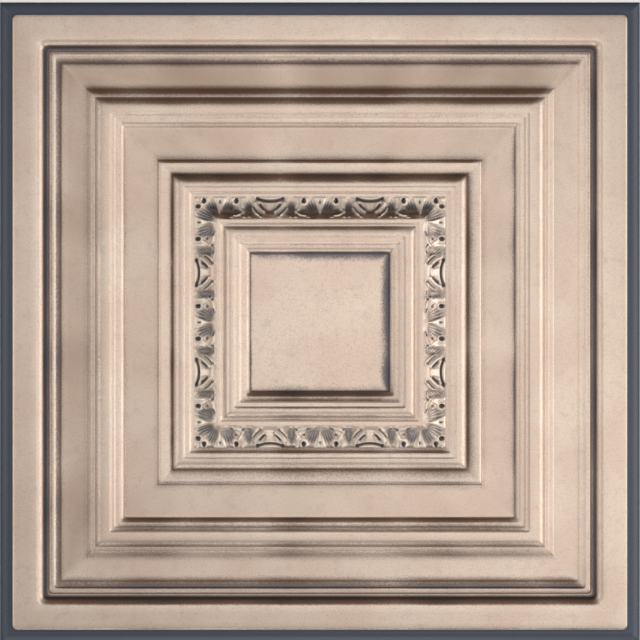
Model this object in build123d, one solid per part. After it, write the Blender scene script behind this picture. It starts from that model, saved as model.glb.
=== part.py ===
from build123d import *
import os

# All sizes are millimetres, +Z is the painted face, and the tile lies on its lip.
# Widths run inwards from the cut edge. Rises and drops are heights on the painted face.

# Sheet
tile_side = 603.0  # lay-in tile for a 24 inch ceiling grid
wall = 0.8  # PVC sheet as formed
lip_width = 11.5  # flat rim that the ceiling grid carries

# Frame: raised border with rounded outer corners
frame_corner_radius = 6.0
frame_wall_width = 1.2
frame_wall_rise = 5.4
frame_shoulder_width = 2.6
frame_shoulder_rise = 2.6
frame_face_width = 19.2
frame_round_width = 7.8
frame_round_drop = 7.4

# Groove and bead inside the frame
groove_width = 3.6
bead_round_width = 3.6
bead_round_rise = 3.0
bead_top_width = 2.0
bead_drop_width = 1.6
bead_drop = 1.2
bead_strip_width = 4.6
bead_edge_width = 0.8
bead_edge_drop = 0.8

# Outer flat band
outer_band_width = 23.0

# Ridge between the bands
ridge_slope_width = 5.4
ridge_slope_rise = 5.0
ridge_ledge_width = 3.4
ridge_round_width = 8.0
ridge_round_rise = 5.6
ridge_crest_width = 6.8
ridge_first_step_width = 1.4
ridge_first_step_drop = 1.8
ridge_first_fillet_width = 2.4
ridge_second_step_width = 1.2
ridge_second_step_drop = 1.5
ridge_second_fillet_width = 2.4
ridge_foot_width = 6.0
ridge_foot_drop = 4.6

# Inner flat band
inner_band_width = 30.6

# Moulding that carries the leaf border
strip_round_width = 3.4
strip_round_rise = 2.8
strip_width = 7.8
strip_fall = 1.2
strip_drop_width = 2.6
strip_drop = 1.0
torus_width = 8.7
torus_rise = 7.2
torus_crest_width = 2.4
cap_first_step_width = 1.3
cap_first_step_drop = 0.9
cap_fillet_width = 3.8
cap_second_step_width = 2.0
cap_second_step_drop = 1.6
leaf_fillet_width = 2.4
leaf_cove_width = 16.0
leaf_cove_rise = 6.5
leaf_lip_width = 6.2
leaf_lip_rise = 2.5

# Crown round the centre panel
astragal_width = 3.2
astragal_step_width = 1.4
astragal_step_drop = 1.2
astragal_fillet_width = 2.4
crown_round_width = 6.4
crown_round_rise = 4.2
crown_crest_width = 2.6
crown_first_step_width = 1.5
crown_first_step_drop = 1.8
crown_first_fillet_width = 3.3
crown_second_step_width = 1.8
crown_second_step_drop = 1.8
crown_second_fillet_width = 2.4
crown_foot_width = 6.3
crown_foot_drop = 5.0


def straight(start, end):
    return Line(start, end)


def arc_from_flat(flat, other):
    # Arc that leaves its flat end level and bends towards the other end.
    return TangentArc(flat, other, tangent=Vector(other.X - flat.X, 0, 0))


def swell(start, end):
    # Convex bend: level at its higher end.
    ends = sorted((start, end), key=lambda point: point.Z)
    return arc_from_flat(ends[1], ends[0])


def hollow(start, end):
    # Concave bend: level at its lower end.
    ends = sorted((start, end), key=lambda point: point.Z)
    return arc_from_flat(ends[0], ends[1])


# Members of the section, from the cut edge to the foot of the crown
members = [
    (straight, lip_width, 0),
    (straight, frame_wall_width, frame_wall_rise),
    (swell, frame_shoulder_width, frame_shoulder_rise),
    (straight, frame_face_width, 0),
    (swell, frame_round_width, -frame_round_drop),
    (straight, groove_width, 0),
    (swell, bead_round_width, bead_round_rise),
    (straight, bead_top_width, 0),
    (straight, bead_drop_width, -bead_drop),
    (straight, bead_strip_width, 0),
    (straight, bead_edge_width, -bead_edge_drop),
    (straight, outer_band_width, 0),
    (straight, ridge_slope_width, ridge_slope_rise),
    (straight, ridge_ledge_width, 0),
    (swell, ridge_round_width, ridge_round_rise),
    (straight, ridge_crest_width, 0),
    (straight, ridge_first_step_width, -ridge_first_step_drop),
    (straight, ridge_first_fillet_width, 0),
    (straight, ridge_second_step_width, -ridge_second_step_drop),
    (straight, ridge_second_fillet_width, 0),
    (swell, ridge_foot_width, -ridge_foot_drop),
    (straight, inner_band_width, 0),
    (swell, strip_round_width, strip_round_rise),
    (straight, strip_width, -strip_fall),
    (straight, strip_drop_width, -strip_drop),
    (swell, torus_width, torus_rise),
    (straight, torus_crest_width, 0),
    (straight, cap_first_step_width, -cap_first_step_drop),
    (straight, cap_fillet_width, 0),
    (straight, cap_second_step_width, -cap_second_step_drop),
    (straight, leaf_fillet_width, 0),
    (hollow, leaf_cove_width, leaf_cove_rise),
    (swell, leaf_lip_width, leaf_lip_rise),
    (straight, astragal_width, 0),
    (straight, astragal_step_width, -astragal_step_drop),
    (straight, astragal_fillet_width, 0),
    (swell, crown_round_width, crown_round_rise),
    (straight, crown_crest_width, 0),
    (straight, crown_first_step_width, -crown_first_step_drop),
    (straight, crown_first_fillet_width, 0),
    (straight, crown_second_step_width, -crown_second_step_drop),
    (straight, crown_second_fillet_width, 0),
    (swell, crown_foot_width, -crown_foot_drop),
]

# Painted side of the section, drawn from the cut edge to the middle of the tile
tile_half = tile_side / 2
pen = Vector(tile_half, 0, wall)
face_edges = []
for bend, width, rise in members:
    tip = pen + Vector(-width, 0, rise)
    face_edges.append(bend(pen, tip))
    pen = tip
face_edges.append(straight(pen, Vector(0, 0, pen.Z)))
face_line = Wire(face_edges)

# Section of one sheet thickness, closed behind the painted side
section = make_face(face_line.offset_2d(wall, side=Side.LEFT, closed=True).edges())

# One side of the tile: the section run straight, cut to a mitre, and stopped at the corner squares
corner_centre = tile_half - lip_width - frame_corner_radius
mitre_plan = Polygon(
    (0, 0),
    (corner_centre, -corner_centre),
    (tile_half, -corner_centre),
    (tile_half, corner_centre),
    (corner_centre, corner_centre),
    align=None,
)
straight_run = extrude(section, amount=tile_half, dir=(0, 1, 0), both=True)
side = straight_run & extrude(mitre_plan, amount=tile_half)

# One corner of the frame: the outer part of the section turned about the corner's centre
corner_axis = Axis((corner_centre, corner_centre, 0), (0, 0, 1))
rim_zone = Pos(corner_centre, 0, 0) * Plane.XZ * Rectangle(tile_half, tile_half, align=(Align.MIN, Align.MIN))
rim_section = Pos(0, corner_centre, 0) * (section & rim_zone)
corner_turn = revolve(rim_section, axis=corner_axis, revolution_arc=90)
corner_square = Rectangle(lip_width + frame_corner_radius, lip_width + frame_corner_radius, align=Align.MIN)
lip_corner = corner_square - Circle(frame_corner_radius + lip_width / 2)
corner = corner_turn + Pos(corner_centre, corner_centre, 0) * extrude(lip_corner, amount=wall)

# Four sides and four corners make the one sheet
quarter = side + corner
ceiling_tile = quarter
for turn in (90, 180, 270):
    ceiling_tile = ceiling_tile + Rot(0, 0, turn) * quarter
ceiling_tile = ceiling_tile.clean()

os.makedirs("parts", exist_ok=True)
export_step(ceiling_tile, "parts/ceiling_tile.step")
print(ceiling_tile.is_valid, len(ceiling_tile.solids()), ceiling_tile.volume)
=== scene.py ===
import math
import bpy
import numpy as np
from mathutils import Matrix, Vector


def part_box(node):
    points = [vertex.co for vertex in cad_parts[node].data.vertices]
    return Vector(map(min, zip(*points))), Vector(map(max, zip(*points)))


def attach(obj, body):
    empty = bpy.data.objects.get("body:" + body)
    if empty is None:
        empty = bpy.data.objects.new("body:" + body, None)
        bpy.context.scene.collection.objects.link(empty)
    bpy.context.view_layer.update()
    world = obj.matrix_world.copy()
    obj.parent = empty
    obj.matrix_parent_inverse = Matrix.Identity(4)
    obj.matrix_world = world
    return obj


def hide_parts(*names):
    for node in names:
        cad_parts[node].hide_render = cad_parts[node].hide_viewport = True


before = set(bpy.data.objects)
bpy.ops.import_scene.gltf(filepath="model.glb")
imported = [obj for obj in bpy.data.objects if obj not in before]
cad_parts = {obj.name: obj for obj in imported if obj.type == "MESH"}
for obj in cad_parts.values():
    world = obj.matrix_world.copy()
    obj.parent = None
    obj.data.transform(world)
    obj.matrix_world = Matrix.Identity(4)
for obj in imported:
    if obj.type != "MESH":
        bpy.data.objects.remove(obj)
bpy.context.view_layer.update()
mm = 0.001
lowest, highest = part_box("ceiling_tile")

# One vacuum-formed sheet. Members run from the cut edge to the centre panel, in mm:
# kind of bend, width inwards, rise of the painted face.
tileSheet = {
    "half": (highest[0] - lowest[0]) / 2 / mm,
    "wall": 0.8,
    "softening": 0.30,           # rounding of every bend in the section
    "curveStep": 0.05,           # mm between two samples of the section
    "arcStep": 0.02,             # the same along one member
    "turnStep": 11.0,            # degrees of bend between two rings
    "backTurnStep": 30.0,
    "longStep": 9.0,             # mm, longest flat between two rings
    "smallestRing": 18.0,        # mm, the centre panel closes on one point inside it
    "cornerOffsets": (0.0, 0.35, 0.9, 1.8, 3.2, 5.5, 9.0),   # mm from each mitre
    "midPoints": 13,
    "members": {
        "lip": ("flat", 11.5, 0.0),
        "frameWall": ("flat", 1.2, 5.4),
        "frameShoulder": ("swell", 2.6, 2.6),
        "frameFace": ("flat", 19.2, 0.0),
        "frameRound": ("swell", 7.8, -7.4),
        "groove": ("flat", 3.6, 0.0),
        "beadRound": ("swell", 3.6, 3.0),
        "beadTop": ("flat", 2.0, 0.0),
        "beadDrop": ("flat", 1.6, -1.2),
        "beadStrip": ("flat", 4.6, 0.0),
        "beadEdge": ("flat", 0.8, -0.8),
        "outerBand": ("flat", 23.0, 0.0),
        "ridgeSlope": ("flat", 5.4, 5.0),
        "ridgeLedge": ("flat", 3.4, 0.0),
        "ridgeRound": ("swell", 8.0, 5.6),
        "ridgeCrest": ("flat", 6.8, 0.0),
        "ridgeStep": ("flat", 1.4, -1.8),
        "ridgeFillet": ("flat", 2.4, 0.0),
        "ridgeLowStep": ("flat", 1.2, -1.5),
        "ridgeLowFillet": ("flat", 2.4, 0.0),
        "ridgeFoot": ("swell", 6.0, -4.6),
        "innerBand": ("flat", 30.6, 0.0),
        "stripRound": ("swell", 3.4, 2.8),
        "strip": ("flat", 7.8, -1.2),
        "stripDrop": ("flat", 2.6, -1.0),
        "torus": ("swell", 8.7, 7.2),
        "torusCrest": ("flat", 2.4, 0.0),
        "capStep": ("flat", 1.3, -0.9),
        "capFillet": ("flat", 3.8, 0.0),
        "capLowStep": ("flat", 2.0, -1.6),
        "leafFillet": ("flat", 2.4, 0.0),
        "leafCove": ("hollow", 16.0, 6.5),
        "leafLip": ("swell", 6.2, 2.5),
        "astragal": ("flat", 3.2, 0.0),
        "astragalStep": ("flat", 1.4, -1.2),
        "astragalFillet": ("flat", 2.4, 0.0),
        "crownRound": ("swell", 6.4, 4.2),
        "crownCrest": ("flat", 2.6, 0.0),
        "crownStep": ("flat", 1.5, -1.8),
        "crownFillet": ("flat", 3.3, 0.0),
        "crownLowStep": ("flat", 1.8, -1.8),
        "crownLowFillet": ("flat", 2.4, 0.0),
        "crownFoot": ("swell", 6.3, -5.0),
    },
    # corner radius in plan of the ring at each member's inner end, in mm
    "planRounding": {
        "lip": 6.0, "frameShoulder": 2.4, "frameFace": 8.0, "frameRound": 4.2, "groove": 3.2,
        "beadRound": 2.0, "beadTop": 2.8, "beadStrip": 1.6, "outerBand": 0.8, "ridgeLedge": 0.8,
        "ridgeRound": 1.8, "ridgeLowFillet": 1.8, "innerBand": 0.8, "stripDrop": 0.6, "torus": 2.0,
        "capLowStep": 0.7, "leafLip": 1.4, "astragalFillet": 0.8, "crownRound": 2.2, "crownCrest": 2.4,
        "crownLowFillet": 2.4, "crownFoot": 1.2,
    },
    "endRounding": (0.2, 0.3),   # the same in the middle of the tile and on its cut edge
    "rawEdge": 1.4,              # mm past the frame's wall where the raw sheet starts to show
}

# Leaves on the cove, drawn on half a period and mirrored: f runs along the side from a leaf's middle,
# v runs inwards from the cove's outer edge, both in mm.
leafBorder = {
    "from": "leafFillet",        # the leaves start at this member's inner end
    "to": "leafLip",
    "period": 93.4,
    "pointsPerSide": 300,
    "rows": 44,
    "backPointsPerSide": 88,
    "backRows": 18,
    "stitchGap": 0.5,            # mm between the leaves' rings and their neighbours
    "backShare": 0.8,            # share of the leaves' height that shows on the back
    # dark wash in the fans on the top, bottom, left and right of the picture, then painted shade at the
    # fans' foot and on the cove's foot between them, strongest on the top side where the cove leans away
    # from the light
    "fanWash": (0.34, 0.50, 0.56, 0.54),
    "fanFootShade": (0.46, 0.00, -0.02, -0.20),
    "footShade": (0.26, 0.06, 0.04, 0.00),
    "gather": (3.5, 13.0, 17.5, 21.5),      # v where the foot's painted shade starts, is full, fades and ends
    "dieOut": (2.0, 1.5),        # mm in which the carving dies out at the cove's outer and inner edge
    # painted shade on carving that leans to the top: lean at which it starts, is full, and how dark it is
    # then
    "shade": (0.30, 0.72, 0.66),
    "shadeStart": (2.5, 5.0),    # v over which that sets in
    "body": (0.6, 19.0, 0.35),   # start, end and height of the leaf's body
    "bodyEdges": (0.6, 1.0, 2.0, 1.0),      # mm of slope before and after its start, then its end
    # wedge on the middle: half-width, length, stem's end, stem's half-width, height
    "vein": (5.8, 14.2, 17.6, 0.7, 0.9),
    "veinEdges": (0.7, 1.3, 1.5),           # shares of its width that it slopes between, mm at its end
    "bract": (5.2, 2.4, 5.6, 14.0, 0.8),    # piece under the arch: half-widths, start, end, height
    "bractEdges": (0.75, 1.2, 0.5, 0.7, 4.0, 1.5),      # such shares, then mm round its start and end
    # how far each form levels what is under it, clears the wash and painted shade off and takes the thick
    # coat with its painted highlight
    "forms": {
        "vein": (0.8, 0.85, 0.8),
        "bract": (1.0, 0.8, 0.5),
        "ridge": (0.7, 1.0, 1.0),
        "rim": (0.0, 0.9, 0.8),
    },
    # lobes and veins that stand up: three points of a curve, half-width, height
    "ridges": (
        ((5.4, 1.0), (2.6, 7.0), (0.4, 14.8), 0.8, 0.8),
        ((13.1, 18.8), (18.6, 19.6), (22.8, 14.8), 0.9, 1.2),
        ((17.8, 8.6), (19.0, 12.0), (22.2, 14.6), 1.2, 0.9),
        ((21.4, 1.2), (20.6, 5.0), (21.6, 10.0), 1.8, 0.9),
        ((33.5, 6.3), (35.5, 11.5), (41.2, 15.0), 1.7, 1.5),
        ((30.7, 11.6), (32.2, 16.0), (36.6, 18.6), 1.1, 1.2),
        ((36.8, 0.6), (41.6, 2.0), (46.7, 2.1), 1.3, 0.7),
    ),
    # cut lines: three points of a curve, half-width, depth
    "cuts": (
        ((34.6, 1.8), (40.2, 4.8), (46.7, 4.7), 1.1, 1.6),
        ((37.4, 7.6), (39.4, 10.2), (41.4, 12.6), 1.1, 1.5),
        ((31.4, 10.2), (33.6, 14.6), (38.6, 17.4), 0.6, 1.0),
    ),
    # drilled eyes: f, v, half-length along, half-length across, depth, darkness
    "eyes": (
        (15.2, 3.9, 1.7, 2.5, 2.4, 1.0),
        (0.0, 5.0, 0.8, 2.2, 1.2, 0.75),
        (34.9, 2.2, 1.5, 1.6, 2.0, 0.95),
        (14.8, 12.6, 1.4, 1.1, 1.1, 0.7),
        (21.6, 17.6, 1.1, 0.9, 0.9, 0.8),
    ),
    "cutWash": 0.9,              # darkness of the cut lines
    "eyeEdge": 3.0,              # how steep the eyes' walls are
    "eyeRim": (1.1, 0.9, 0.26),  # width, height and softness of the rim round the largest eye
    # ribbed scoops: middle f and v, half-width and how fast it grows inwards, half-length, focus f and v,
    # depth, rib pitch in degrees, rib height
    "fans": (
        (7.6, 11.6, 3.4, 0.16, 9.2, 1.0, 27.0, 1.7, 7.0, 0.28),
        (26.8, 10.8, 2.4, 0.08, 9.0, 40.0, 30.0, 1.5, 4.2, 0.28),
    ),
    "fanEdges": (2.6, 4.0),      # how square a scoop is along the side and across it
    "ribWash": 1.4,              # wash that a rib of one mm sheds
    # curled tips along the cove's inner lip: f, v, half-length along, half-length across, height
    "tips": (
        (10.8, 19.8, 1.9, 0.9, 1.1),
        (22.8, 20.0, 1.8, 0.9, 1.0),
        (27.4, 19.7, 1.8, 0.9, 1.0),
        (38.3, 20.0, 1.6, 0.8, 0.9),
    ),
    "tipUndercut": (1.2, 0.4, 0.6),         # mm outwards of the tip, share of its height, darkness of the painted shadow under it
}

# Lines of bare paint where the spray did not reach, with painted shade in them: their strength on each
# side follows how the light fell, strongest on faces that lean away from the light at the bottom of the
# picture. Columns: member whose inner end the line follows, shift outwards in mm, spread outwards and
# inwards in mm, how bare and shaded it is on the top, bottom, left and right side of the picture, and
# whether it looks warm (slopes) or cold (flats).
sprayGapsAndPaintedShade = (
    ("frameShoulder", 1.1, 1.4, 1.1, (0.00, 0.39, 0.00, 0.12), "warm"),
    ("frameRound", 3.0, 3.4, 2.8, (0.12, 0.66, 0.00, 0.00), "warm"),
    ("frameRound", 0.2, 1.4, 1.4, (0.30, 0.94, 0.30, 0.30), "warm"),
    ("groove", 2.5, 1.6, 1.5, (0.92, 0.51, 0.92, 0.74), "cold"),
    ("groove", 0.2, 0.9, 1.2, (0.27, 0.00, 0.30, 0.35), "warm"),
    ("groove", -2.6, 1.7, 1.9, (0.34, 0.00, 0.37, 0.26), "cold"),
    ("beadDrop", 1.1, 1.0, 0.9, (0.00, 0.84, 0.00, 0.00), "warm"),
    ("beadStrip", 3.3, 2.0, 1.8, (0.00, 0.66, 0.00, 0.00), "cold"),
    ("beadStrip", 2.0, 2.3, 1.4, (0.84, 0.20, 0.92, 0.24), "cold"),
    ("beadEdge", 0.8, 0.9, 1.0, (0.68, 0.57, 0.57, 0.00), "warm"),
    ("beadEdge", -0.3, 0.4, 5.1, (0.42, 0.46, 0.27, 0.00), "warm"),
    ("outerBand", 0.1, 4.8, 1.8, (0.45, 0.25, 0.20, 0.00), "warm"),
    ("ridgeSlope", 2.5, 3.3, 4.9, (0.63, 0.42, 0.28, 0.00), "warm"),
    ("ridgeLedge", -1.6, 1.5, 2.7, (0.24, 0.32, 0.00, 0.00), "warm"),
    ("ridgeRound", 3.7, 4.6, 4.5, (0.60, 0.32, 0.29, 0.00), "warm"),
    ("ridgeStep", -0.5, 1.0, 2.7, (0.25, 0.53, 0.00, 0.00), "warm"),
    ("ridgeLowStep", -0.1, 0.6, 1.6, (0.01, 0.43, 0.00, 0.01), "warm"),
    ("ridgeFoot", 1.4, 4.2, 1.3, (0.26, 0.66, 0.00, 0.00), "warm"),
    ("ridgeFoot", 0.5, 0.4, 4.1, (0.00, 0.00, 0.31, 0.44), "cold"),
    ("innerBand", 0.6, 1.9, 1.5, (0.34, 0.24, 0.18, 0.28), "warm"),
    ("stripRound", 1.6, 2.7, 1.7, (0.57, 0.37, 0.16, 0.00), "warm"),
    ("strip", 2.8, 4.7, 4.1, (0.00, 0.33, 0.00, 0.28), "warm"),
    ("stripDrop", 0.3, 2.4, 2.1, (0.46, 0.42, 0.50, 0.52), "warm"),
    ("torus", 6.6, 3.2, 6.8, (0.70, 0.32, 0.20, 0.18), "warm"),
    ("torusCrest", -0.4, 1.1, 0.7, (0.00, 0.34, 0.00, 0.16), "warm"),
    ("capFillet", -1.3, 2.1, 1.9, (0.00, 0.59, 0.00, 0.06), "warm"),
    ("leafFillet", -1.3, 2.7, 1.9, (0.00, 0.49, 0.00, 0.33), "warm"),
    ("leafCove", -3.4, 4.0, 3.4, (0.66, 0.24, 0.12, 0.00), "warm"),
    ("astragal", -1.5, 0.4, 1.8, (0.00, 0.42, 0.00, 0.00), "warm"),
    ("astragalFillet", 0.8, 0.8, 1.2, (0.36, 0.00, 0.33, 0.23), "warm"),
    ("crownRound", 5.2, 1.7, 2.7, (0.49, 0.41, 0.00, 0.00), "warm"),
    ("crownCrest", -0.4, 1.3, 1.3, (0.24, 0.45, 0.00, 0.00), "warm"),
    ("crownFillet", -2.2, 1.0, 2.3, (0.31, 0.61, 0.00, 0.17), "warm"),
    ("crownFoot", 3.1, 2.4, 0.9, (0.08, 0.66, 0.13, 0.22), "warm"),
    ("crownFoot", 1.3, 2.4, 2.2, (0.22, 0.62, 0.12, 0.16), "warm"),
    ("crownFoot", 0.4, 1.1, 1.3, (0.56, 0.30, 0.40, 0.34), "cold"),
    ("crownFoot", 0.0, 0.4, 6.6, (0.46, 0.30, 0.10, 0.60), "cold"),
)

bellPowers = {"warm": 3.0, "cold": 1.6}      # how flat-topped the bare paint and painted shade of each kind of line is

# Thinner coat on the flat faces, with painted shade on the sides that the light reached less: member,
# then how thin and shaded it is on the top, bottom, left and right side.
thinCoatsAndSideShade = (
    ("frameFace", (0.00, 0.11, 0.15, 0.00)),
    ("outerBand", (0.67, 0.04, 0.48, 0.00)),
    ("innerBand", (0.38, 0.21, 0.24, 0.33)),
)

sprayGun = {
    # passes across each side: wavelength along the side in mm, phase, depth
    "passes": ((141.0, 0.4, 0.16), (67.0, 2.1, 0.14), (38.0, 4.4, 0.10)),
    "starts": (0.0, 1.9, 3.1, 4.7),         # phase of the top, bottom, left and right side
    "onShadows": 0.6,            # share of the passes that shows in the bare lines and their painted shade
    "mitreBlend": 3.0,           # mm over which two sides blend at a mitre
    "coatEdge": 1.0,             # mm either side of a flat face's edge over which its thin coat and painted shade end
    # how far the thick coat hides the bare lines and their painted shade, and the painted shade of what
    # leans to the top
    "coatHides": (0.9, 0.5),
}


def memberSpans(spec):
    # Outer and inner half-size of each member: the tile's half-size less the widths passed so far.
    widths = np.array([member[1] for member in spec["members"].values()])
    inner = spec["half"] - np.cumsum(widths)
    return {name: (r + width, r) for name, r, width in zip(spec["members"], inner, widths)}


def smoothCurve(values, width):
    # Gaussian mean along the curve, with the ends held.
    reach = int(4 * width) + 1
    steps = np.arange(-reach, reach + 1)
    weights = np.exp(-0.5 * (steps / width) ** 2)
    padded = np.pad(values, reach, mode="edge")
    return np.convolve(padded, weights / weights.sum(), mode="valid")


def sectionCurve(spec):
    # Height of the painted face over the half-size r. A flat is a straight line; a swell or hollow is the
    # arc that lies level at its higher or lower end; then a gaussian mean along r softens all bends.
    step = spec["curveStep"]
    r0, z0 = spec["half"], spec["wall"]
    pieces = []
    for kind, width, rise in spec["members"].values():
        t = np.linspace(0, 1, max(2, int(width / spec["arcStep"])))
        if kind == "flat":
            z = z0 + rise * t
        else:
            levelFirst = (rise > 0) == (kind == "hollow")
            u = t if levelFirst else 1 - t            # 0 at the level end
            radius = (width ** 2 + rise ** 2) / (2 * abs(rise))
            drop = radius - np.sqrt(np.maximum(radius ** 2 - (u * width) ** 2, 0))
            z = z0 + np.sign(rise) * drop if levelFirst else z0 + rise - np.sign(rise) * drop
        pieces.append(np.stack([r0 - width * t, z]))
        r0, z0 = r0 - width, z0 + rise
    curve = np.concatenate(pieces, axis=1)[:, ::-1]
    r = np.linspace(0, spec["half"], round(spec["half"] / step) + 1)
    z = np.interp(r, curve[0], curve[1])
    return r, smoothCurve(z, spec["softening"] / step)


def backCurve(r, z, wall):
    # Back of the sheet: the lowest point that a ball of one wall reaches below each part of the face.
    step = r[1] - r[0]
    reach = int(wall / step)
    shifts = range(-reach, reach + 1)
    lowered = [np.roll(z, k) - math.sqrt(max(wall ** 2 - (k * step) ** 2, 0)) for k in shifts]
    back = np.min(lowered, axis=0)
    back[:reach + 1] = z[:reach + 1] - wall
    back[-reach - 1:] = z[-reach - 1:] - wall
    return back


def ringPlaces(r, z, low, high, turnStep, longStep):
    # Half-sizes of the rings between low and high: equal shares of bend plus length along the section.
    inside = (r >= low - 1e-6) & (r <= high + 1e-6)
    rr, zz = r[inside], z[inside]
    slope = np.arctan(np.gradient(zz, rr))
    bend = np.abs(np.diff(slope)) / math.radians(turnStep)
    length = np.hypot(np.diff(rr), np.diff(zz)) / longStep
    total = np.concatenate([[0], np.cumsum(bend + length)])
    count = int(math.ceil(total[-1])) + 1
    return np.interp(np.linspace(0, total[-1], count), total, rr)


def sideNumbers(offsets, midPoints):
    # Along one side a point sits at a*r + b: b mm short of the mitre near the corners, evenly between.
    near = np.array(offsets)
    spread = np.linspace(-1, 1, midPoints + 2)[1:-1]
    far = near[-1]
    a = np.concatenate([-np.ones(len(near)), spread, np.ones(len(near) - 1)])
    b = np.concatenate([near, -spread * far, -near[:0:-1]])
    return a, b


def ringPoints(reach, along, height, rounding):
    # Square rings with rounded corners: side k is the first side turned by k quarter turns, and a point
    # past the corner's centre is drawn in to the corner's arc.
    centre = np.maximum(reach - rounding[:, None], 0)
    over = np.maximum(np.abs(along) - centre, 0)
    radius = np.maximum(reach - centre, 1e-6)
    shrink = radius / np.hypot(radius, over)
    across = np.where(over > 0, centre + radius * shrink, reach)
    along = np.where(over > 0, np.sign(along) * (centre + over * shrink), along)
    sides = [(across, along), (-along, across), (-across, -along), (along, -across)]
    xs = np.concatenate([side[0] for side in sides], axis=1)
    ys = np.concatenate([side[1] for side in sides], axis=1)
    return np.stack([xs, ys, np.tile(height, 4)], axis=-1)


def strokeNear(f, v, p0, p1, p2, width):
    # Gaussian of the distance in mm from each point to a quadratic curve, by the curve's samples.
    samples = 28
    t = np.linspace(0, 1, samples)
    cf = (1 - t) ** 2 * p0[0] + 2 * t * (1 - t) * p1[0] + t ** 2 * p2[0]
    cv = (1 - t) ** 2 * p0[1] + 2 * t * (1 - t) * p1[1] + t ** 2 * p2[1]
    nearest = np.full(f.shape, 1e9)
    for i in range(samples):
        nearest = np.minimum(nearest, np.hypot(f - cf[i], v - cv[i]))
    return np.exp(-(nearest / width) ** 2)


def rise(value, low, high):
    # Smooth step from 0 to 1 between low and high.
    t = np.clip((value - low) / (high - low), 0, 1)
    return t * t * (3 - 2 * t)


def leafRelief(along, v, depthOfBorder, spec):
    # Height of the leaves over the cove in mm, the wash in their fans, the band on the cove's foot where
    # shade is painted, the wash in their cuts with a painted shadow under each tip, and the thick coat with
    # painted highlight on their high parts. f folds the side into half periods, so each leaf mirrors about
    # its middle.
    period = spec["period"]
    f = np.abs((along + period / 2) % period - period / 2)
    start, end, bodyHeight = spec["body"]
    before, after, short, past = spec["bodyEdges"]
    body = rise(v, start - before, start + after) * (1 - rise(v, end - short, end + past))
    starts, full, fades, ends = spec["gather"]
    deep = rise(v, starts, full) * (1 - rise(v, fades, ends))
    height = bodyHeight * body
    wash = np.zeros(f.shape)
    squareAlong, squareAcross = spec["fanEdges"]
    for fm, vm, fh, grow, vh, ff, vf, depth, pitch, rib in spec["fans"]:
        # a scoop with soft edges that widens inwards, its ribs on equal angles about the focus
        edge = np.abs((f - fm) / (fh + grow * v)) ** squareAlong + np.abs((v - vm) / vh) ** squareAcross
        zone = np.exp(-edge)
        ribs = np.cos(np.degrees(np.arctan2(f - ff, vf - v)) * 2 * math.pi / pitch)
        height = height + zone * (rib * ribs - depth)
        wash = wash + zone * (1 - spec["ribWash"] * rib * ribs)

    # what stands up: the middle's wedge, the bract under the arch, lobes and veins, the largest eye's rim
    veinWidth, veinLength, stemEnd, stemWidth, veinHeight = spec["vein"]
    inside, outside, stemSlope = spec["veinEdges"]
    vein = 1 - rise(f / np.maximum(veinWidth * (1 - v / veinLength), stemWidth), inside, outside)
    vein = vein * (1 - rise(v, stemEnd - stemSlope, stemEnd))
    wide, narrow, bractStart, bractEnd, bractHeight = spec["bract"]
    inside, outside, before, after, short, past = spec["bractEdges"]
    bractShare = np.clip((v - bractStart) / (bractEnd - bractStart), 0, 1)
    bract = 1 - rise((period / 2 - f) / (wide + (narrow - wide) * bractShare), inside, outside)
    bract = bract * rise(v, bractStart - before, bractStart + after)
    bract = bract * (1 - rise(v, bractEnd - short, bractEnd + past))
    big = spec["eyes"][0]
    rimWidth, rimHeight, rimSoftness = spec["eyeRim"]
    rim = np.hypot((f - big[0]) / (big[2] + rimWidth), (v - big[1]) / (big[3] + rimWidth))
    rimNear = np.exp(-((rim - 1) / rimSoftness) ** 2)
    standing = [("vein", vein, veinHeight), ("bract", bract, bractHeight)]
    standing += [("ridge", strokeNear(f, v, *curve, width), up) for *curve, width, up in spec["ridges"]]
    standing.append(("rim", rimNear, rimHeight))
    stays, coat = np.ones(f.shape), np.zeros(f.shape)
    for form, near, up in standing:
        levels, clears, takes = spec["forms"][form]
        height = height * (1 - levels * near) + near * up
        stays = stays * (1 - clears * near)
        coat = np.maximum(coat, takes * near)

    # what is cut in: lines, drilled eyes and the undercut of each tip, with a painted shadow under the tip
    cutWash = np.zeros(f.shape)
    for *curve, width, depth in spec["cuts"]:
        near = strokeNear(f, v, *curve, width)
        height = height - near * depth
        cutWash = np.maximum(cutWash, spec["cutWash"] * near)
    for fe, ve, fh, vh, depth, dark in spec["eyes"]:
        near = np.exp(-(np.hypot((f - fe) / fh, (v - ve) / vh)) ** spec["eyeEdge"])
        height = height - near * depth
        cutWash = np.maximum(cutWash, dark * near)
    underShift, underShare, tipShadowDark = spec["tipUndercut"]
    for ft, vt, fh, vh, up in spec["tips"]:
        near = np.exp(-(np.hypot((f - ft) / fh, (v - vt) / vh)) ** 2)
        under = np.exp(-(np.hypot((f - ft) / fh, (v - vt + underShift) / vh)) ** 2)
        height = height + near * up - underShare * under * up
        cutWash = np.maximum(cutWash, tipShadowDark * under)
        coat = np.maximum(coat, near)
    outerFade, innerFade = spec["dieOut"]
    fade = rise(v, 0.0, outerFade) * rise(depthOfBorder - v, 0.0, innerFade)
    stays = stays * fade
    return height * fade, wash * stays, deep * stays, cutWash * fade, coat * (1 - cutWash) * fade


def quads(first, rows, columns, flip):
    # Faces between neighbouring rings of one zone, closed round the loop.
    i = np.arange(rows - 1)[:, None]
    j = np.arange(columns)[None, :]
    k = (j + 1) % columns
    a, b = first + i * columns + j, first + i * columns + k
    c, d = b + columns, a + columns
    corners = (a, b, c, d) if flip else (a, d, c, b)
    return np.stack(np.broadcast_arrays(*corners), axis=-1).reshape(-1, 4)


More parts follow.
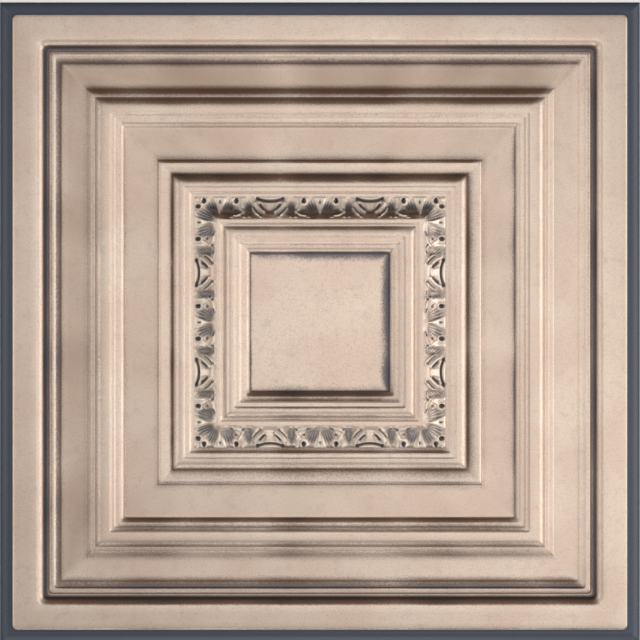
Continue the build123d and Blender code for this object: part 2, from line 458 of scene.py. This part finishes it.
def stitch(firstA, anglesA, firstB, anglesB, flip):
    # Triangles between two loops with different numbers of points: each short edge joins the nearest point
    # of the other loop, and each change of point closes with one triangle. Angles run once round the loop.
    countA, countB = len(anglesA), len(anglesB)
    middleB = anglesB + 0.5 * ((np.roll(anglesB, -1) - anglesB) % 1.0)
    edgesA = anglesA + 0.5 * ((np.roll(anglesA, -1) - anglesA) % 1.0)
    owner = np.searchsorted(edgesA, middleB) % countA
    jb = np.arange(countB)
    fans = np.stack([firstA + owner, firstB + jb, firstB + (jb + 1) % countB], axis=-1)
    ja = np.arange(countA)
    change = np.searchsorted(middleB, edgesA) % countB
    links = np.stack([firstA + ja, firstB + change, firstA + (ja + 1) % countA], axis=-1)
    tris = np.concatenate([fans, links])
    return tris[:, ::-1] if flip else tris


def loopAngles(points):
    # Share of the way round a square ring for each of its points.
    count = len(points)
    side = np.repeat(np.arange(4), count // 4)
    reach = np.maximum(np.abs(points[:, 0]), np.abs(points[:, 1]))
    x, y = points[:, 0], points[:, 1]
    along = np.select([side == 0, side == 1, side == 2], [y, -x, -y], x)
    return (side + (along / reach + 1) / 2) / 4


def sideShares(points):
    # How much of a point belongs to the top, bottom, left and right side, blended a little at the mitres.
    x, y = points[:, 0], points[:, 1]
    gap = np.stack([y, -y, -x, x], axis=-1)
    gap = gap - gap.max(axis=1, keepdims=True)
    shares = np.exp(gap / sprayGun["mitreBlend"])
    return shares / shares.sum(axis=1, keepdims=True)


def gunWaves(points, shares):
    # Sum of the waves of the gun's passes along each side; each side starts its passes elsewhere.
    along = np.where(np.abs(points[:, 0]) < np.abs(points[:, 1]), points[:, 0], points[:, 1])
    turn = shares @ np.array(sprayGun["starts"])
    passes = sprayGun["passes"]
    return sum(depth * np.sin(2 * math.pi * along / wave + phase + turn) for wave, phase, depth in passes)


def barenessAndShade(shares, r, spans, passes, hues):
    # One less the product of what each line of bare paint and painted shade lets through: a line is a
    # bell across it, wider on one side than on the other, flat-topped on the slopes, and the gun's passes
    # swell and fade it.
    through = np.ones(len(r))
    for member, shift, outwards, inwards, strengths, hue in sprayGapsAndPaintedShade:
        if hue in hues:
            line = spans[member][1] + shift
            away = np.abs(r - line) / np.where(r > line, outwards, inwards)
            strength = (shares @ np.array(strengths)) * (1 + sprayGun["onShadows"] * passes)
            through *= 1 - np.clip(np.exp(-away ** hues[hue]) * strength, 0, 1)
    return 1 - through


def coatThinnessAndShade(shares, r, spans, passes):
    # Sum of the flat faces, each a smooth step in and out, times the waves of the gun's passes.
    edge = sprayGun["coatEdge"]
    thin = np.zeros(len(r))
    for member, strengths in thinCoatsAndSideShade:
        outer, inner = spans[member]
        face = rise(r, inner - edge, inner + edge) * (1 - rise(r, outer - edge, outer + edge))
        thin += face * (shares @ np.array(strengths))
    return thin * (1 + passes)


def plainZone(spec, r, curve, low, high, turnStep, painted):
    # The section carried round rounded squares from half-size low to high.
    spans = memberSpans(spec)
    middle, edge = spec["endRounding"]
    known = [(spans[member][1], corner) for member, corner in spec["planRounding"].items()]
    known = sorted(known + [(0.0, middle), (spec["half"], edge)])
    places = ringPlaces(r, curve, low, high, turnStep, spec["longStep"])
    rounding = np.interp(places, *np.array(known).T)
    a, b = sideNumbers(spec["cornerOffsets"], spec["midPoints"])
    reach = np.repeat(places[:, None], len(a), axis=1)
    height = np.repeat(np.interp(places, r, curve)[:, None], len(a), axis=1)
    points = ringPoints(reach, np.clip(reach * a + b, -reach, reach), height, rounding)
    none = np.zeros(points.shape[:2])
    return {"points": points, "r": np.tile(reach, 4), "wash": none, "footShade": none, "cutWash": none,
            "coat": none, "shade": none, "painted": painted}


def leafZone(spec, leaf, r, curve, rows, perSide, amount, painted):
    # Rings of the cove, each point moved along the section's normal by a share of the leaf's height.
    spans = memberSpans(spec)
    outer, inner = spans[leaf["from"]][1], spans[leaf["to"]][1]
    places = np.linspace(inner, outer, rows)
    t = np.linspace(-1, 1, perSide + 1)[:-1]
    ring = np.repeat(places[:, None], perSide, axis=1)
    relief, wash, footShade, cutWash, coat = leafRelief(ring * t, outer - ring, outer - inner, leaf)
    slope = np.interp(places, r, np.gradient(curve, r))[:, None]
    reach = ring - amount * relief * slope / np.hypot(slope, 1)
    height = np.interp(places, r, curve)[:, None] + amount * relief / np.hypot(slope, 1)
    sharp = np.full(rows, 1e-4)      # the cove's corners stay mitred
    points = ringPoints(reach, reach * t, height, sharp)
    # painted shade: carving that leans to the top of the picture, away from the light at the bottom, is made
    # darker
    outwards = np.gradient(points, axis=0)
    around = np.roll(points, -1, axis=1) - np.roll(points, 1, axis=1)
    normal = np.cross(outwards, around)
    lean = normal[..., 1] / np.linalg.norm(normal, axis=-1)
    thinFrom, thinTo, most = leaf["shade"]
    shade = most * rise(lean, thinFrom, thinTo) * np.tile(rise(outer - ring, *leaf["shadeStart"]), 4)
    masks = {"r": ring, "wash": wash, "footShade": footShade, "cutWash": cutWash, "coat": coat}
    masks = {key: np.tile(mask, 4) for key, mask in masks.items()}
    return {"points": points, "shade": shade, "painted": painted, **masks}


def buildSheet(spec, leaf):
    # Painted face and back, each as three zones of rings from the middle outwards, stitched where the
    # number of points changes, joined along the cut edge and closed on one point in the panel's middle.
    r, z = sectionCurve(spec)
    back = backCurve(r, z, spec["wall"])
    spans = memberSpans(spec)
    leafOut = spans[leaf["from"]][1] + leaf["stitchGap"]
    leafIn = spans[leaf["to"]][1] - leaf["stitchGap"]
    small, half, backShare = spec["smallestRing"], spec["half"], leaf["backShare"]
    zones = [
        plainZone(spec, r, z, small, leafIn, spec["turnStep"], True),
        leafZone(spec, leaf, r, z, leaf["rows"], leaf["pointsPerSide"], 1, True),
        plainZone(spec, r, z, leafOut, half, spec["turnStep"], True),
        plainZone(spec, r, back, small, leafIn, spec["backTurnStep"], False),
        leafZone(spec, leaf, r, back, leaf["backRows"], leaf["backPointsPerSide"], backShare, False),
        plainZone(spec, r, back, leafOut, half, spec["backTurnStep"], False),
    ]

    faces4, faces3, count = [], [], 0
    for zone in zones:
        rows, columns = zone["points"].shape[:2]
        faces4.append(quads(count, rows, columns, not zone["painted"]))
        zone["first"], zone["last"] = count, count + (rows - 1) * columns
        zone["inAngles"] = loopAngles(zone["points"][0])
        zone["outAngles"] = loopAngles(zone["points"][-1])
        count += rows * columns
    for inner, outer, flip in ((0, 1, False), (1, 2, False), (3, 4, True), (4, 5, True)):
        innerZone, outerZone = zones[inner], zones[outer]
        innerLoop = (innerZone["last"], innerZone["outAngles"])
        outerLoop = (outerZone["first"], outerZone["inAngles"])
        if len(innerLoop[1]) <= len(outerLoop[1]):
            faces3.append(stitch(*innerLoop, *outerLoop, flip))
        else:
            faces3.append(stitch(*outerLoop, *innerLoop, not flip))
    loop = np.arange(len(zones[2]["outAngles"]))
    following = np.roll(loop, -1)
    top, under = zones[2]["last"], zones[5]["last"]
    faces4.append(np.stack([top + loop, under + loop, under + following, top + following], axis=-1))
    ends = np.array([[0, 0, z[0]], [0, 0, back[0]]])
    faceRing, backRing = zones[0]["first"], zones[3]["first"]
    faces3.append(np.stack([np.full(len(loop), count), faceRing + loop, faceRing + following], axis=-1))
    faces3.append(np.stack([np.full(len(loop), count + 1), backRing + following, backRing + loop], axis=-1))

    points = np.concatenate([zone["points"].reshape(-1, 3) for zone in zones] + [ends])
    masks = {key: np.concatenate([zone[key].reshape(-1) for zone in zones] + [np.zeros(2)])
             for key in ("r", "wash", "footShade", "cutWash", "coat", "shade")}
    faceSide = np.arange(len(points)) < zones[3]["first"]
    faceSide[-2] = True
    shares = sideShares(points)
    washes = ("fanWash", "fanFootShade", "footShade")
    inFans, atFoot, between = (shares @ np.array(leaf[key]) for key in washes)
    scoopWashAndShade = masks["wash"] * (inFans + atFoot * masks["footShade"]) + between * masks["footShade"]
    foot, shoulder = spans["frameWall"]
    passes = gunWaves(points, shares)
    hidesShadow, hidesShade = sprayGun["coatHides"]
    keeps = 1 - hidesShadow * masks["coat"]
    # bare paint with painted shade from the lines, then the painted shade of carving that leans to the top;
    # the thick coat hides part of each
    bareAndShaded = barenessAndShade(shares, masks["r"], spans, passes, bellPowers) * keeps
    bareAndShaded = 1 - (1 - bareAndShaded) * (1 - masks["shade"] * (1 - hidesShade * masks["coat"]))
    cold = barenessAndShade(shares, masks["r"], spans, passes, {"cold": bellPowers["cold"]}) * keeps
    coats = {
        "bareAndShadedSheet": np.where(faceSide, bareAndShaded, 0.0),
        "coldSheet": np.where(faceSide, cold, 0.0),
        "rawSheet": np.where(faceSide, rise(masks["r"], shoulder - spec["rawEdge"], foot), 1.0),
        "leafWashAndShade": 1 - (1 - np.clip(scoopWashAndShade, 0, 1)) * (1 - masks["cutWash"]),
        "thickCoatAndHighlight": masks["coat"],
        "thinCoatAndShade": coatThinnessAndShade(shares, masks["r"], spans, passes),
    }
    return points, np.concatenate(faces4), np.concatenate(faces3), coats


def putMesh(name, points, faces4, faces3, attributes):
    # Whole arrays of points in mm and of corner numbers go into one mesh with smooth faces.
    mesh = bpy.data.meshes.new(name)
    loops = np.concatenate([faces4.reshape(-1), faces3.reshape(-1)]).astype(np.int32)
    sizes = np.concatenate([np.full(len(faces4), 4), np.full(len(faces3), 3)])
    mesh.vertices.add(len(points))
    mesh.vertices.foreach_set("co", (points * mm).astype(np.float32).reshape(-1))
    mesh.loops.add(len(loops))
    mesh.loops.foreach_set("vertex_index", loops)
    mesh.polygons.add(len(sizes))
    mesh.polygons.foreach_set("loop_start", np.concatenate([[0], np.cumsum(sizes)[:-1]]).astype(np.int32))
    mesh.polygons.foreach_set("use_smooth", np.ones(len(sizes), dtype=bool))
    mesh.update(calc_edges=True)
    mesh.validate(verbose=False)
    for key, values in attributes.items():
        layer = mesh.attributes.new(key, "FLOAT", "POINT")
        layer.data.foreach_set("value", values.astype(np.float32))
    piece = bpy.data.objects.new(name, mesh)
    bpy.context.scene.collection.objects.link(piece)
    return piece


points, faces4, faces3, sheetMasks = buildSheet(tileSheet, leafBorder)
sheet = putMesh("tile_sheet", points, faces4, faces3, sheetMasks)
print("sheet:", len(points), "points,", 2 * len(faces4) + len(faces3), "triangles")

# Black PVC sheet, vacuum-formed, then sprayed with a champagne metallic paint: pale and satin on the
# flats, thin and brown on the slopes, with painted shade in brown and black where they lean away from
# the light, bare and black in the grooves, raw navy on the lip, and a paler coat with painted highlight
# on the leaves' high parts.
paintLook = {
    "champagne": "#CEBBAB",
    "metallic": 0.75,
    "roughness": (0.42, 0.50),
    "peelHeight": 0.03,          # mm, orange peel
    # noise: size of its blobs in mm, detail, roughness
    "noises": {
        "clouds": (70.0, 2.0, 0.5),      # slow drift of the paint's tone
        "mottle": (9.0, 3.0, 0.55),      # passes of the spray gun
        "specks": (1.3, 2.0, 0.6),       # droplets, drawn about as coarse as one pixel so that they show
    },
    # mask broken up by the droplets: attribute, depth of the droplets
    "speckled": {"brokenAndShaded": ("bareAndShadedSheet", 0.3), "chilled": ("coldSheet", 0.3), "washedAndShaded": ("leafWashAndShade", 0.3)},
    # coats in order: mask, where it starts, where it is full, how strong it is then, colour
    "coats": (
        ("clouds", 0.38, 0.66, 0.60, "#C5AD9D"),
        ("mottle", 0.48, 0.78, 0.45, "#B4A498"),
        ("specks", 0.50, 0.74, 0.42, "#9A8474"),
        # thin coat with painted shade on the flat faces
        ("thinCoatAndShade", 0.00, 1.00, 1.00, "#9F8878"),
        # paler thick coat on the leaves' high parts and tips, with painted highlight
        ("thickCoatAndHighlight", 0.15, 0.90, 0.60, "#DED2C2"),
        # dark wash in the fans and cuts, with painted shade on the cove's foot and a painted shadow under
        # each tip
        ("washedAndShaded", 0.23, 0.65, 1.00, "#867E7A"),
        ("washedAndShaded", 0.55, 1.10, 1.00, "#34343A"),
        # bare paint and painted shade of the lines: dusty, brown, then black
        ("brokenAndShaded", 0.26, 0.60, 0.65, "#8F837A"),
        ("brokenAndShaded", 0.42, 0.80, 1.00, "#5C3E28"),
        # cold lines: thin grey and blue-black paint on flats and groove floors, with painted shade
        ("chilled", 0.32, 0.80, 0.95, "#56535A"),
        ("brokenAndShaded", 0.74, 1.06, 1.00, "#281B17"),
        ("chilled", 0.66, 1.02, 1.00, "#2E2D3B"),
        ("rawSheet", 0.25, 0.75, 1.00, "#363C49"),
    ),
    "bareFrom": (0.42, 0.86),    # share of broken paint and painted shade over which the metal flakes go
    "speckRange": (0.3, 0.7),    # droplets' noise over which the roughness runs
}


def linear(hexColour):
    # Each channel of an sRGB hex colour through the sRGB curve to linear light.
    values = np.array([int(hexColour[i:i + 2], 16) for i in (1, 3, 5)]) / 255
    values = np.where(values <= 0.04045, values / 12.92, ((values + 0.055) / 1.055) ** 2.4)
    return (*[float(v) for v in values], 1.0)


def addNode(tree, kind, settings=None, inputs=None):
    # One node with its settings, and each input either linked or set to a value.
    node = tree.nodes.new(kind)
    for key, value in (settings or {}).items():
        setattr(node, key, value)
    for key, value in (inputs or {}).items():
        if isinstance(value, bpy.types.NodeSocket):
            tree.links.new(value, node.inputs[key])
        else:
            node.inputs[key].default_value = value
    return node


def newMaterial(name):
    # An empty node tree in a new material.
    material = bpy.data.materials.new(name)
    material.use_nodes = True
    material.node_tree.nodes.clear()
    return material, material.node_tree


def sprayedPaint(look, attributes):
    # Each coat lies over the one before by the smooth step of its mask: a noise, an attribute of the sheet,
    # or an attribute plus the droplets times a depth.
    material, tree = newMaterial("champagne_paint_on_formed_pvc")
    coords = addNode(tree, "ShaderNodeTexCoord").outputs["Object"]
    masks = {}
    for name, (size, detail, roughness) in look["noises"].items():
        masks[name] = addNode(tree, "ShaderNodeTexNoise", {"noise_dimensions": "3D"},
                              {"Vector": coords, "Scale": 1 / (size * mm), "Detail": detail,
                               "Roughness": roughness}).outputs["Fac"]
    for name in attributes:
        masks[name] = addNode(tree, "ShaderNodeAttribute", {"attribute_name": name}).outputs["Fac"]
    for name, (attribute, depth) in look["speckled"].items():
        masks[name] = addNode(tree, "ShaderNodeMath", {"operation": "MULTIPLY_ADD"},
                              {0: masks["specks"], 1: depth, 2: masks[attribute]}).outputs[0]
    colour = linear(look["champagne"])
    for mask, low, high, most, coat in look["coats"]:
        share = addNode(tree, "ShaderNodeMapRange", {"interpolation_type": "SMOOTHSTEP"},
                        {"Value": masks[mask], "From Min": low, "From Max": high,
                         "To Max": most}).outputs[0]
        colour = addNode(tree, "ShaderNodeMix", {"data_type": "RGBA"},
                         {0: share, 6: colour, 7: linear(coat)}).outputs[2]
    # the metal flakes are gone where the paint is gone and where shade is painted, on the lip and on the
    # back
    bareLow, bareHigh = look["bareFrom"]
    flakes = addNode(tree, "ShaderNodeMapRange", {"interpolation_type": "SMOOTHSTEP"},
                     {"Value": masks["brokenAndShaded"], "From Min": bareLow, "From Max": bareHigh,
                      "To Min": look["metallic"], "To Max": 0.0}).outputs[0]
    flakes = addNode(tree, "ShaderNodeMapRange", None,
                     {"Value": masks["rawSheet"], "To Min": flakes, "To Max": 0.0}).outputs[0]
    smooth, dull = look["roughness"]
    fine, coarse = look["speckRange"]
    rough = addNode(tree, "ShaderNodeMapRange", None,
                    {"Value": masks["specks"], "From Min": fine, "From Max": coarse, "To Min": smooth,
                     "To Max": dull}).outputs[0]
    bump = addNode(tree, "ShaderNodeBump", None,
                   {"Strength": 1.0, "Distance": look["peelHeight"] * mm, "Height": masks["specks"]})
    shader = addNode(tree, "ShaderNodeBsdfPrincipled", None,
                     {"Base Color": colour, "Metallic": flakes, "Roughness": rough,
                      "Normal": bump.outputs["Normal"]})
    addNode(tree, "ShaderNodeOutputMaterial", None, {"Surface": shader.outputs["BSDF"]})
    return material


sheet.data.materials.append(sprayedPaint(paintLook, sheetMasks))
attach(sheet, "root")
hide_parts("ceiling_tile")
print("paint: sprayed")

stageLook = {
    "floorSize": 6.0,
    "floorDrop": 0.05,           # mm from the tile down to the floor
    "floorColour": "#E9E7E3",
    "floorRoughness": 0.8,
    "worldColour": "#FFFFFF",
    "worldStrength": 0.15,
    # name: place, size of the panel in m, watts
    "lamps": {
        "overhead": ((0.0, 0.1, 2.4), 1.0, 8.5),
        "overheadRight": ((0.85, -0.5, 2.4), 0.9, 8.5),
        "overheadBack": ((0.0, 0.95, 2.4), 0.7, 3.6),
        "right": ((2.5, -0.1, 1.35), 2.0, 46.0),
        "left": ((-2.2, 0.0, 2.0), 1.6, 20.0),
        "leftLow": ((-2.6, 0.0, 0.9), 1.6, 9.0),
        "front": ((0.0, -2.6, 0.9), 1.6, 24.0),
        "back": ((0.0, 2.4, 1.9), 1.6, 9.0),
    },
    "sensorWidth": 36.0,
    "cameraHeight": 1.5,
    "pixelsWide": 640,
    "pixelSize": 0.943,          # mm on the tile for one pixel
    "centrePixel": (319.4, 321.8),
}


def buildStage(look):
    # A square floor just under the tile, an even world, and square panels that face the tile's middle.
    reach = look["floorSize"] / 2
    corners = np.array([[-1, -1, 0], [1, -1, 0], [1, 1, 0], [-1, 1, 0]]) * reach / mm
    corners = corners - [0, 0, look["floorDrop"]]
    floor = putMesh("floor", corners, np.array([[0, 1, 2, 3]]), np.zeros((0, 3), int), {})
    material, tree = newMaterial("matt_floor_paint")
    shader = addNode(tree, "ShaderNodeBsdfPrincipled", None,
                     {"Base Color": linear(look["floorColour"]), "Roughness": look["floorRoughness"]})
    addNode(tree, "ShaderNodeOutputMaterial", None, {"Surface": shader.outputs["BSDF"]})
    floor.data.materials.append(material)

    world = bpy.data.worlds.new("studio")
    world.use_nodes = True
    background = world.node_tree.nodes["Background"]
    background.inputs["Color"].default_value = linear(look["worldColour"])
    background.inputs["Strength"].default_value = look["worldStrength"]
    bpy.context.scene.world = world

    for name, (place, size, watts) in look["lamps"].items():
        data = bpy.data.lights.new(name, "AREA")
        data.size = size
        data.energy = watts
        lamp = bpy.data.objects.new(name, data)
        lamp.location = place
        lamp.rotation_euler = (-Vector(place)).to_track_quat("-Z", "Y").to_euler()
        bpy.context.scene.collection.objects.link(lamp)


def buildCamera(look):
    # Looks straight down at the middle of the tile, top of the picture towards +Y. The lens makes one pixel
    # as wide as pixelSize on the tile, and the shift puts the tile's middle on centrePixel.
    data = bpy.data.cameras.new("camera")
    data.sensor_width = look["sensorWidth"]
    data.lens = data.sensor_width * look["cameraHeight"] / (look["pixelsWide"] * look["pixelSize"] * mm)
    centre = (look["pixelsWide"] - 1) / 2
    data.shift_x = (centre - look["centrePixel"][0]) / look["pixelsWide"]
    data.shift_y = (look["centrePixel"][1] - centre) / look["pixelsWide"]
    data.dof.use_dof = False
    camera = bpy.data.objects.new("camera", data)
    camera.location = (0, 0, look["cameraHeight"])
    bpy.context.scene.collection.objects.link(camera)
    bpy.context.scene.camera = camera


buildStage(stageLook)
buildCamera(stageLook)
bpy.context.scene.view_settings.view_transform = "Standard"
print("stage: floor, lamps and camera")
